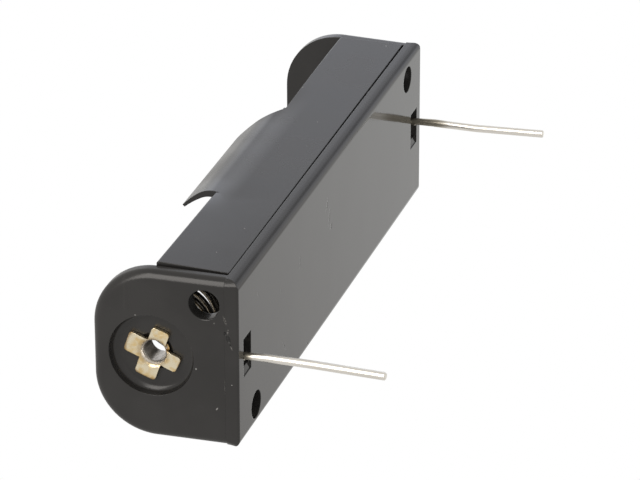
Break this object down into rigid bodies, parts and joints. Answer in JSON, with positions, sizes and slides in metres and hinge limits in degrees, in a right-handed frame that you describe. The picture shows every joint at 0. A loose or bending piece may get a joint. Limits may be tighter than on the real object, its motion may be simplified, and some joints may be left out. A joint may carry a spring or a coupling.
{
  "type": "board-mounted battery holder",
  "caption": "Open moulded holder for a cylindrical cell, with curled side clips, a coil spring, a contact plate and round solder pins.",
  "frame": {"origin": "centre of the underside, the face that lies on the circuit board", "axes": "+X along the cell towards the end with the coil spring, +Z from the board up into the holder, pins pointing along -Z"},
  "size_m": [0.0582, 0.0172, 0.0271],
  "materials": {
    "moulding": "glossy black, lightly scuffed",
    "brass_eyelet": "pale yellow metal, slightly dull",
    "tinned_wire": "bright tinned wire",
    "spring_wire": "bright plated wire",
    "contact_plate": "bright plated sheet"
  },
  "bodies": {
    "root": {"holder_body": "moulding", "negative_eyelet": "brass_eyelet", "positive_eyelet": "brass_eyelet", "negative_pin": "tinned_wire", "positive_pin": "tinned_wire", "negative_spring": "spring_wire", "positive_contact": "contact_plate"}
  },
  "joints": []
}
